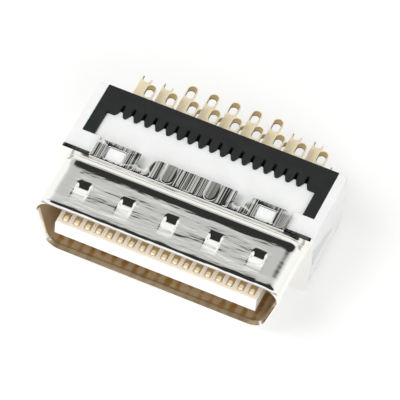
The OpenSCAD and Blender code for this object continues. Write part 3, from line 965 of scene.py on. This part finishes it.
def pressed_pad(bm, s, x, sign):
    """A rib with a round front end and a rounded rim, standing on a strap"""
    foot, rear = s["flange_z"] - PAD_SUNK, s["strap_depth"] + PAD_OVERRUN
    length = rear - PAD_FRONT_Y - PAD_HALF
    part = bmesh.new()
    start = part.verts.new((x - PAD_HALF, rear, foot))
    vert = run(part, start, (0, -length, 0))
    vert = turn(part, vert, (x, PAD_FRONT_Y + PAD_HALF, foot), ALONG_Z, 2 * QUARTER_TURN,
                PAD_STEPS)
    vert = run(part, vert, (0, length, 0))
    part.edges.new((vert, start))
    face = part.faces.new(part.verts[:])
    bmesh.ops.recalc_face_normals(part, faces=[face])
    if face.normal.z < 0:
        bmesh.ops.reverse_faces(part, faces=[face])
    made = bmesh.ops.extrude_face_region(part, geom=[face])["geom"]
    bmesh.ops.translate(part, vec=(0, 0, PAD_THICKNESS), verts=only(bmesh.types.BMVert, made))
    top = only(bmesh.types.BMFace, made)
    bmesh.ops.inset_region(part, faces=top, thickness=0.0, use_even_offset=True)
    bmesh.ops.scale(part, vec=PAD_INNER_TOP, verts=list({v for f in top for v in f.verts}),
                    space=Matrix.Translation((-x, -s["strap_depth"], 0)))
    bmesh.ops.bisect_plane(part, geom=everything(part), clear_outer=True,
                           plane_co=(0, s["strap_depth"] - PAD_SETBACK, 0), plane_no=ALONG_Y)
    bmesh.ops.edgeloop_fill(part, edges=[e for e in part.edges if e.is_boundary])
    rim = [e for e in sharp_edges(part)
           if min(v.co.z for v in e.verts) > foot + PAD_THICKNESS - TINY]
    round_edges(part, rim, PAD_RIM_ROUND)
    bmesh.ops.rotate(part, cent=(0, BEND, s["fold"]), verts=part.verts,
                     matrix=Matrix.Rotation(s["tilt"][sign], 3, "X"))
    bmesh.ops.scale(part, vec=(1, 1, sign), verts=part.verts)
    add_shape(bm, part)


def shell_shape(s):
    """The whole front shell, in millimetres"""
    bm = bmesh.new()
    drawn_wall(bm, s)
    press_wall(bm, s)
    rims = [[e for e in bm.edges if e.is_boundary and abs(e.verts[0].co.y - y) < TINY]
            for y in (0.0, s["sheet"])]
    blank = folded_blank(s, rims)
    fold_straps(bm, s)
    add_shape(bm, blank)
    bmesh.ops.remove_doubles(bm, verts=bm.verts, dist=TINY / 5)
    for x in (-PAD_X, PAD_X):
        for sign in (-1, 1):
            pressed_pad(bm, s, x, sign)
    bmesh.ops.recalc_face_normals(bm, faces=bm.faces)
    return bm


class PLUG_OT_front_shell(bpy.types.Operator):
    """Builds the drawn shell with its flange and straps"""

    bl_idname = "plug.front_shell"
    bl_label = "Front shell"

    def execute(self, context):
        plug = context.scene.plug
        bm = shell_shape(shell_sizes(plug.shell))
        steel = plated_steel(plug.finishes)
        finish_piece("front_shell_metal", bm, steel, "front_shell",
                     smooth_angle=math.radians(24))
        return {"FINISHED"}


class PLUG_OT_insulator(bpy.types.Operator):
    """Builds the white moulding with softly rounded edges"""

    bl_idname = "plug.insulator"
    bl_label = "Insulator"

    def execute(self, context):
        bm = softened_copy("insulator", MOULDED_EDGE_ROUND)
        white = white_moulding(context.scene.plug.finishes)
        finish_piece("insulator_body", bm, white, "insulator")
        return {"FINISHED"}


class PLUG_OT_tail_comb(bpy.types.Operator):
    """Builds the black comb with softly rounded edges"""

    bl_idname = "plug.tail_comb"
    bl_label = "Tail comb"

    def execute(self, context):
        bm = softened_copy("tail_comb", MOULDED_EDGE_ROUND)
        black = black_moulding(context.scene.plug.finishes)
        finish_piece("tail_comb_block", bm, black, "tail_comb")
        return {"FINISHED"}


class PLUG_OT_contacts(bpy.types.Operator):
    """Builds both rows of contacts"""

    bl_idname = "plug.contacts"
    bl_label = "Contacts"

    def execute(self, context):
        gold = gold_plate(context.scene.plug.finishes)
        for name in list(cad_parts):
            if name.startswith("contact_"):
                bm = contact_shape(name)
                finish_piece(name + "_strip", bm, gold, name)
        return {"FINISHED"}


# The studio's world: ramps by direction, and how bright each part is
WORLD_REAR = (0.02, 0.3)
REAR_SKY = (0.5, 0.8, 1.0, 0.55)
LOW_FRONT = (0.1, -0.2)
LOW_FROM, LOW_TO = (0.03, 0.15), (0.5, 0.3)
LOW_SHADE = 0.5
CEILING_TILT = math.radians(10)
CEILING_EDGE = (math.cos(math.radians(40.5)), math.cos(math.radians(33)))
CEILING_LIGHT = 0.03


def studio_world():
    """White surroundings, greyer low in front and high in the rear, with a dark ceiling"""
    world = bpy.data.worlds.new("studio")
    bpy.context.scene.world = world
    world.use_nodes = True
    tree = world.node_tree
    background = tree.nodes["Background"]
    direction = add(tree, "ShaderNodeTexCoord").outputs["Generated"]
    _, y, z = axes(tree, direction)
    low = product(tree, ramp(tree, z, *LOW_FROM), ramp(tree, z, *LOW_TO), ramp(tree, y, *LOW_FRONT))
    front = maths(tree, "SUBTRACT", 1.0, product(tree, low, LOW_SHADE))
    around = blend_values(tree, ramp(tree, y, *WORLD_REAR), front, ramp(tree, z, *REAR_SKY))
    overhead = (math.sin(CEILING_TILT), 0, math.cos(CEILING_TILT))
    toward = vector_maths(tree, "DOT_PRODUCT", direction, overhead)["Value"]
    light = blend_values(tree, ramp(tree, toward, *CEILING_EDGE), around, CEILING_LIGHT)
    put(tree, light, background.inputs["Strength"])
    put(tree, (1, 1, 1), background.inputs["Color"])


FLOOR_HALF = 1500  # millimetres
FLOOR_GAP = 0.01   # millimetres below the part's lowest point
FLOOR_PAPER = (0.86, 0.86, 0.87)
FLOOR_SEEN = (0.50, 0.50, 0.49)
FLOOR_GLOW = 0.53


def floor_paper():
    """Plain paper that the camera and the metal see as white, with its shadows"""
    material, tree, shader = new_material("floor_paper")
    tree.nodes.remove(shader)
    paper = add(tree, "ShaderNodeBsdfDiffuse", {"Color": FLOOR_PAPER})
    half = add(tree, "ShaderNodeBsdfDiffuse", {"Color": FLOOR_SEEN})
    glow = add(tree, "ShaderNodeEmission", {"Color": (1, 1, 1), "Strength": FLOOR_GLOW})
    seen = add(tree, "ShaderNodeAddShader", {0: half.outputs[0], 1: glow.outputs[0]})
    path = add(tree, "ShaderNodeLightPath").outputs
    direct = maths(tree, "MAXIMUM", path["Is Camera Ray"], path["Is Glossy Ray"])
    whole = add(tree, "ShaderNodeMixShader", {0: direct, 1: paper.outputs[0], 2: seen.outputs[0]})
    tree.links.new(whole.outputs[0], tree.nodes["Material Output"].inputs["Surface"])
    return material


def studio_floor():
    """A pale floor just below the part"""
    bm = bmesh.new()
    bmesh.ops.create_grid(bm, x_segments=8, y_segments=8, size=FLOOR_HALF)
    bmesh.ops.translate(bm, vec=(0, 0, CAD_BOX[0][2] / MM - FLOOR_GAP), verts=bm.verts)
    new_object("floor", bm, floor_paper())


LAMP_SIZE = 0.22      # metres
LAMP_DISTANCE = 0.4   # metres


def studio_lamp(name, direction, energy):
    """A square soft lamp that faces the part and doesn't show in its metal"""
    data = bpy.data.lights.new(name, "AREA")
    data.shape = "SQUARE"
    data.size = LAMP_SIZE
    data.energy = energy
    lamp = bpy.data.objects.new(name, data)
    bpy.context.scene.collection.objects.link(lamp)
    away = Vector(direction).normalized()
    lamp.location = away * LAMP_DISTANCE
    lamp.rotation_euler = away.to_track_quat("Z", "Y").to_euler()
    lamp.visible_glossy = False


# The photograph's camera: where it looks from, its lens, and how far off the middle it is, in
# millimetres
CAMERA_AZIMUTH = math.radians(18.482)
CAMERA_ELEVATION = math.radians(51.307)
CAMERA_ROLL = math.radians(6.696)
CAMERA_DISTANCE = 473.009
CAMERA_OFF_RIGHT, CAMERA_OFF_TOP = 1.891, 1.979
CAMERA_LENS, CAMERA_SENSOR = 398.5, 36


def studio_camera():
    """The photograph's camera: 51 degrees up, 18 degrees to the right and rolled by 7"""
    sin_a, cos_a = math.sin(CAMERA_AZIMUTH), math.cos(CAMERA_AZIMUTH)
    sin_e, cos_e = math.sin(CAMERA_ELEVATION), math.cos(CAMERA_ELEVATION)
    sin_r, cos_r = math.sin(CAMERA_ROLL), math.cos(CAMERA_ROLL)
    level = Vector((cos_a, sin_a, 0))
    rise = Vector((-sin_a * sin_e, cos_a * sin_e, cos_e))
    ahead = Vector((-sin_a * cos_e, cos_a * cos_e, -sin_e))
    right = cos_r * level + sin_r * rise
    top = -sin_r * level + cos_r * rise
    spot = CAMERA_OFF_RIGHT * right + CAMERA_OFF_TOP * top - CAMERA_DISTANCE * ahead
    data = bpy.data.cameras.new("camera")
    data.lens = CAMERA_LENS
    data.sensor_width = CAMERA_SENSOR
    data.clip_start = 0.01
    camera = bpy.data.objects.new("camera", data)
    bpy.context.scene.collection.objects.link(camera)
    turned = Matrix((right, top, -ahead)).transposed().to_4x4()
    turned.translation = spot * MM
    camera.matrix_world = turned
    bpy.context.scene.camera = camera


class PLUG_OT_studio(bpy.types.Operator):
    """Sets up the floor, the light and the camera"""

    bl_idname = "plug.studio"
    bl_label = "Studio"

    def execute(self, context):
        context.scene.view_settings.view_transform = "Standard"
        studio_world()
        studio_floor()
        studio_lamp("key_lamp", (-0.55, -0.45, 0.9), 0.74)
        studio_lamp("fill_lamp", (0.5, -0.85, 0.5), 0.6)
        studio_camera()
        return {"FINISHED"}


class PLUG_PT_sidebar(bpy.types.Panel):
    """Lists the plug's sizes, colours and operators"""

    bl_label = "Ribbon plug"
    bl_idname = "PLUG_PT_sidebar"
    bl_space_type = "VIEW_3D"
    bl_region_type = "UI"
    bl_category = "Ribbon plug"

    def draw(self, context):
        plug = context.scene.plug
        for group in (plug.shell, plug.finishes):
            box = self.layout.box()
            for name in group.bl_rna.properties.keys():
                if name not in ("rna_type", "name"):
                    box.prop(group, name)
        for operator in OPERATORS:
            self.layout.operator(operator.bl_idname)


GROUPS = (ShellSizes, Finishes, PlugSettings)
OPERATORS = (PLUG_OT_front_shell, PLUG_OT_insulator, PLUG_OT_tail_comb, PLUG_OT_contacts,
             PLUG_OT_studio)
CLASSES = GROUPS + OPERATORS + (PLUG_PT_sidebar,)


def register():
    """Registers the classes and gives the scene its settings"""
    for cls in CLASSES:
        bpy.utils.register_class(cls)
    bpy.types.Scene.plug = PointerProperty(type=PlugSettings)


def unregister():
    """Undoes what register does"""
    del bpy.types.Scene.plug
    for cls in reversed(CLASSES):
        bpy.utils.unregister_class(cls)


def main():
    """Builds the plug and its studio"""
    register()
    bpy.ops.plug.front_shell()
    bpy.ops.plug.insulator()
    bpy.ops.plug.tail_comb()
    bpy.ops.plug.contacts()
    bpy.ops.plug.studio()


if __name__ == "__main__":
    main()
